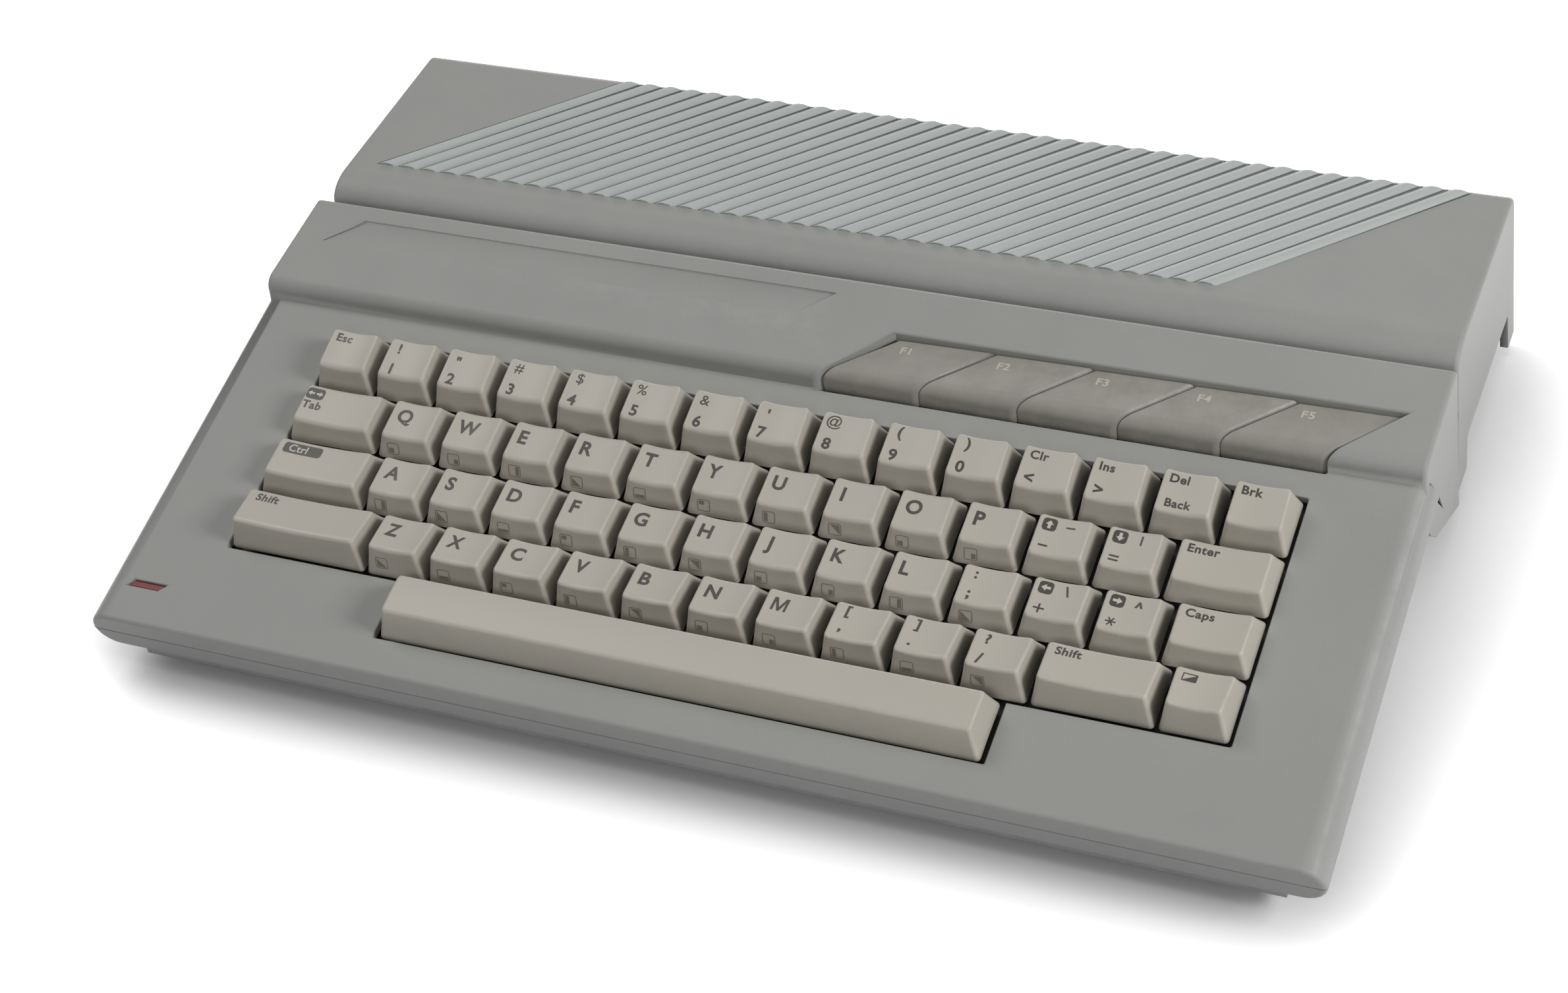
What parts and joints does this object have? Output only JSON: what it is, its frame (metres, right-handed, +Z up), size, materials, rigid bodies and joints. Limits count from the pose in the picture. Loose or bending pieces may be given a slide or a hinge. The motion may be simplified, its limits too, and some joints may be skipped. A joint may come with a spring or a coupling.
{
  "type": "vintage home computer",
  "caption": "Low wedge home computer: full sprung typing keyboard, slanted function keys on a step, diagonal ribbed vent deck, rear and side sockets.",
  "frame": {"origin": "middle of the footprint at the table surface", "axes": "+X to the right of a person typing, +Y to the rear, +Z up; the front edge faces -Y"},
  "size_m": [0.3486, 0.2286, 0.0574],
  "materials": {
    "case_plastic": "fine moulded grain",
    "keycap_plastic": "fine grain, slightly worn tops",
    "function_key_plastic": "fine grain",
    "black_plastic": "matt moulded",
    "dome_rubber": "silicone",
    "steel": "plated sheet",
    "board": "solder mask",
    "chip_epoxy": "moulded epoxy",
    "foot_rubber": "matt",
    "light_red": "clear tinted"
  },
  "bodies": {
    "case": {"top_cover": "case_plastic", "bottom_cover": "case_plastic", "keyboard_frame": "black_plastic", "dome_sheet": "dome_rubber", "keyboard_backplate": "steel", "main_board": "board", "chips": "chip_epoxy", "rf_shield": "steel", "din_sockets": "black_plastic", "cartridge_slot": "black_plastic", "serial_port": "black_plastic", "controller_ports": "steel", "case_screws": "steel", "rubber_feet": "foot_rubber", "power_light": "light_red"},
    "key_esc": {"key_esc": "keycap_plastic"},
    "key_backspace": {"key_backspace": "keycap_plastic"},
    "key_break": {"key_break": "keycap_plastic"},
    "key_tab": {"key_tab": "keycap_plastic"},
    "key_q": {"key_q": "keycap_plastic"},
    "key_w": {"key_w": "keycap_plastic"},
    "key_e": {"key_e": "keycap_plastic"},
    "key_r": {"key_r": "keycap_plastic"},
    "key_t": {"key_t": "keycap_plastic"},
    "key_y": {"key_y": "keycap_plastic"},
    "key_u": {"key_u": "keycap_plastic"},
    "key_i": {"key_i": "keycap_plastic"},
    "key_o": {"key_o": "keycap_plastic"},
    "key_p": {"key_p": "keycap_plastic"},
    "key_return": {"key_return": "keycap_plastic"},
    "key_control": {"key_control": "keycap_plastic"},
    "key_a": {"key_a": "keycap_plastic"},
    "key_s": {"key_s": "keycap_plastic"},
    "key_d": {"key_d": "keycap_plastic"},
    "key_f": {"key_f": "keycap_plastic"},
    "key_g": {"key_g": "keycap_plastic"},
    "key_h": {"key_h": "keycap_plastic"},
    "key_j": {"key_j": "keycap_plastic"},
    "key_k": {"key_k": "keycap_plastic"},
    "key_l": {"key_l": "keycap_plastic"},
    "key_caps": {"key_caps": "keycap_plastic"},
    "key_shift_left": {"key_shift_left": "keycap_plastic"},
    "key_z": {"key_z": "keycap_plastic"},
    "key_x": {"key_x": "keycap_plastic"},
    "key_c": {"key_c": "keycap_plastic"},
    "key_v": {"key_v": "keycap_plastic"},
    "key_b": {"key_b": "keycap_plastic"},
    "key_n": {"key_n": "keycap_plastic"},
    "key_m": {"key_m": "keycap_plastic"},
    "key_shift_right": {"key_shift_right": "keycap_plastic"},
    "key_inverse": {"key_inverse": "keycap_plastic"},
    "keys_numbers": {"keys_numbers": "keycap_plastic"},
    "keys_symbols": {"keys_symbols": "keycap_plastic"},
    "space_bar": {"space_bar": "keycap_plastic"},
    "fkey_1": {"fkey_1": "function_key_plastic"},
    "fkey_2": {"fkey_2": "function_key_plastic"},
    "fkey_3": {"fkey_3": "function_key_plastic"},
    "fkey_4": {"fkey_4": "function_key_plastic"},
    "fkey_5": {"fkey_5": "function_key_plastic"},
    "power_switch": {"power_switch": "black_plastic"}
  },
  "joints": [
    {"name": "key_esc_press", "type": "slide", "parent": "case", "child": "key_esc", "axis": [0, -0.1908, 0.9816], "range_m": [-0.0034, 0], "stiffness_N_per_m": 150, "springref_m": 0.002},
    {"name": "key_backspace_press", "type": "slide", "parent": "case", "child": "key_backspace", "axis": [0, -0.1908, 0.9816], "range_m": [-0.0034, 0], "stiffness_N_per_m": 150, "springref_m": 0.002},
    {"name": "key_break_press", "type": "slide", "parent": "case", "child": "key_break", "axis": [0, -0.1908, 0.9816], "range_m": [-0.0034, 0], "stiffness_N_per_m": 150, "springref_m": 0.002},
    {"name": "key_tab_press", "type": "slide", "parent": "case", "child": "key_tab", "axis": [0, -0.1908, 0.9816], "range_m": [-0.0034, 0], "stiffness_N_per_m": 150, "springref_m": 0.002},
    {"name": "key_q_press", "type": "slide", "parent": "case", "child": "key_q", "axis": [0, -0.1908, 0.9816], "range_m": [-0.0034, 0], "stiffness_N_per_m": 150, "springref_m": 0.002},
    {"name": "key_w_press", "type": "slide", "parent": "case", "child": "key_w", "axis": [0, -0.1908, 0.9816], "range_m": [-0.0034, 0], "stiffness_N_per_m": 150, "springref_m": 0.002},
    {"name": "key_e_press", "type": "slide", "parent": "case", "child": "key_e", "axis": [0, -0.1908, 0.9816], "range_m": [-0.0034, 0], "stiffness_N_per_m": 150, "springref_m": 0.002},
    {"name": "key_r_press", "type": "slide", "parent": "case", "child": "key_r", "axis": [0, -0.1908, 0.9816], "range_m": [-0.0034, 0], "stiffness_N_per_m": 150, "springref_m": 0.002},
    {"name": "key_t_press", "type": "slide", "parent": "case", "child": "key_t", "axis": [0, -0.1908, 0.9816], "range_m": [-0.0034, 0], "stiffness_N_per_m": 150, "springref_m": 0.002},
    {"name": "key_y_press", "type": "slide", "parent": "case", "child": "key_y", "axis": [0, -0.1908, 0.9816], "range_m": [-0.0034, 0], "stiffness_N_per_m": 150, "springref_m": 0.002},
    {"name": "key_u_press", "type": "slide", "parent": "case", "child": "key_u", "axis": [0, -0.1908, 0.9816], "range_m": [-0.0034, 0], "stiffness_N_per_m": 150, "springref_m": 0.002},
    {"name": "key_i_press", "type": "slide", "parent": "case", "child": "key_i", "axis": [0, -0.1908, 0.9816], "range_m": [-0.0034, 0], "stiffness_N_per_m": 150, "springref_m": 0.002},
    {"name": "key_o_press", "type": "slide", "parent": "case", "child": "key_o", "axis": [0, -0.1908, 0.9816], "range_m": [-0.0034, 0], "stiffness_N_per_m": 150, "springref_m": 0.002},
    {"name": "key_p_press", "type": "slide", "parent": "case", "child": "key_p", "axis": [0, -0.1908, 0.9816], "range_m": [-0.0034, 0], "stiffness_N_per_m": 150, "springref_m": 0.002},
    {"name": "key_return_press", "type": "slide", "parent": "case", "child": "key_return", "axis": [0, -0.1908, 0.9816], "range_m": [-0.0034, 0], "stiffness_N_per_m": 150, "springref_m": 0.002},
    {"name": "key_control_press", "type": "slide", "parent": "case", "child": "key_control", "axis": [0, -0.1908, 0.9816], "range_m": [-0.0034, 0], "stiffness_N_per_m": 150, "springref_m": 0.002},
    {"name": "key_a_press", "type": "slide", "parent": "case", "child": "key_a", "axis": [0, -0.1908, 0.9816], "range_m": [-0.0034, 0], "stiffness_N_per_m": 150, "springref_m": 0.002},
    {"name": "key_s_press", "type": "slide", "parent": "case", "child": "key_s", "axis": [0, -0.1908, 0.9816], "range_m": [-0.0034, 0], "stiffness_N_per_m": 150, "springref_m": 0.002},
    {"name": "key_d_press", "type": "slide", "parent": "case", "child": "key_d", "axis": [0, -0.1908, 0.9816], "range_m": [-0.0034, 0], "stiffness_N_per_m": 150, "springref_m": 0.002},
    {"name": "key_f_press", "type": "slide", "parent": "case", "child": "key_f", "axis": [0, -0.1908, 0.9816], "range_m": [-0.0034, 0], "stiffness_N_per_m": 150, "springref_m": 0.002},
    {"name": "key_g_press", "type": "slide", "parent": "case", "child": "key_g", "axis": [0, -0.1908, 0.9816], "range_m": [-0.0034, 0], "stiffness_N_per_m": 150, "springref_m": 0.002},
    {"name": "key_h_press", "type": "slide", "parent": "case", "child": "key_h", "axis": [0, -0.1908, 0.9816], "range_m": [-0.0034, 0], "stiffness_N_per_m": 150, "springref_m": 0.002},
    {"name": "key_j_press", "type": "slide", "parent": "case", "child": "key_j", "axis": [0, -0.1908, 0.9816], "range_m": [-0.0034, 0], "stiffness_N_per_m": 150, "springref_m": 0.002},
    {"name": "key_k_press", "type": "slide", "parent": "case", "child": "key_k", "axis": [0, -0.1908, 0.9816], "range_m": [-0.0034, 0], "stiffness_N_per_m": 150, "springref_m": 0.002},
    {"name": "key_l_press", "type": "slide", "parent": "case", "child": "key_l", "axis": [0, -0.1908, 0.9816], "range_m": [-0.0034, 0], "stiffness_N_per_m": 150, "springref_m": 0.002},
    {"name": "key_caps_press", "type": "slide", "parent": "case", "child": "key_caps", "axis": [0, -0.1908, 0.9816], "range_m": [-0.0034, 0], "stiffness_N_per_m": 150, "springref_m": 0.002},
    {"name": "key_shift_left_press", "type": "slide", "parent": "case", "child": "key_shift_left", "axis": [0, -0.1908, 0.9816], "range_m": [-0.0034, 0], "stiffness_N_per_m": 150, "springref_m": 0.002},
    {"name": "key_z_press", "type": "slide", "parent": "case", "child": "key_z", "axis": [0, -0.1908, 0.9816], "range_m": [-0.0034, 0], "stiffness_N_per_m": 150, "springref_m": 0.002},
    {"name": "key_x_press", "type": "slide", "parent": "case", "child": "key_x", "axis": [0, -0.1908, 0.9816], "range_m": [-0.0034, 0], "stiffness_N_per_m": 150, "springref_m": 0.002},
    {"name": "key_c_press", "type": "slide", "parent": "case", "child": "key_c", "axis": [0, -0.1908, 0.9816], "range_m": [-0.0034, 0], "stiffness_N_per_m": 150, "springref_m": 0.002},
    {"name": "key_v_press", "type": "slide", "parent": "case", "child": "key_v", "axis": [0, -0.1908, 0.9816], "range_m": [-0.0034, 0], "stiffness_N_per_m": 150, "springref_m": 0.002},
    {"name": "key_b_press", "type": "slide", "parent": "case", "child": "key_b", "axis": [0, -0.1908, 0.9816], "range_m": [-0.0034, 0], "stiffness_N_per_m": 150, "springref_m": 0.002},
    {"name": "key_n_press", "type": "slide", "parent": "case", "child": "key_n", "axis": [0, -0.1908, 0.9816], "range_m": [-0.0034, 0], "stiffness_N_per_m": 150, "springref_m": 0.002},
    {"name": "key_m_press", "type": "slide", "parent": "case", "child": "key_m", "axis": [0, -0.1908, 0.9816], "range_m": [-0.0034, 0], "stiffness_N_per_m": 150, "springref_m": 0.002},
    {"name": "key_shift_right_press", "type": "slide", "parent": "case", "child": "key_shift_right", "axis": [0, -0.1908, 0.9816], "range_m": [-0.0034, 0], "stiffness_N_per_m": 150, "springref_m": 0.002},
    {"name": "key_inverse_press", "type": "slide", "parent": "case", "child": "key_inverse", "axis": [0, -0.1908, 0.9816], "range_m": [-0.0034, 0], "stiffness_N_per_m": 150, "springref_m": 0.002},
    {"name": "keys_numbers_press", "type": "slide", "parent": "case", "child": "keys_numbers", "axis": [0, -0.1908, 0.9816], "range_m": [-0.0034, 0], "stiffness_N_per_m": 1800, "springref_m": 0.002},
    {"name": "keys_symbols_press", "type": "slide", "parent": "case", "child": "keys_symbols", "axis": [0, -0.1908, 0.9816], "range_m": [-0.0034, 0], "stiffness_N_per_m": 1200, "springref_m": 0.002},
    {"name": "space_bar_press", "type": "slide", "parent": "case", "child": "space_bar", "axis": [0, -0.1908, 0.9816], "range_m": [-0.0034, 0], "stiffness_N_per_m": 300, "springref_m": 0.002},
    {"name": "fkey_1_press", "type": "hinge", "parent": "case", "child": "fkey_1", "pos_m": [0.03535, 0.0245, 0.05025], "axis": [1, 0, 0], "range_deg": [0, 3], "stiffness_Nm_per_rad": 0.3, "springref_deg": -3.44},
    {"name": "fkey_2_press", "type": "hinge", "parent": "case", "child": "fkey_2", "pos_m": [0.06345, 0.0245, 0.05025], "axis": [1, 0, 0], "range_deg": [0, 3], "stiffness_Nm_per_rad": 0.3, "springref_deg": -3.44},
    {"name": "fkey_3_press", "type": "hinge", "parent": "case", "child": "fkey_3", "pos_m": [0.09155, 0.0245, 0.05025], "axis": [1, 0, 0], "range_deg": [0, 3], "stiffness_Nm_per_rad": 0.3, "springref_deg": -3.44},
    {"name": "fkey_4_press", "type": "hinge", "parent": "case", "child": "fkey_4", "pos_m": [0.11965, 0.0245, 0.05025], "axis": [1, 0, 0], "range_deg": [0, 3], "stiffness_Nm_per_rad": 0.3, "springref_deg": -3.44},
    {"name": "fkey_5_press", "type": "hinge", "parent": "case", "child": "fkey_5", "pos_m": [0.14775, 0.0245, 0.05025], "axis": [1, 0, 0], "range_deg": [0, 3], "stiffness_Nm_per_rad": 0.3, "springref_deg": -3.44},
    {"name": "power_switch_rock", "type": "hinge", "parent": "case", "child": "power_switch", "pos_m": [0.143, 0.1032, 0.0196], "axis": [1, 0, 0], "range_deg": [0, 8]}
  ]
}
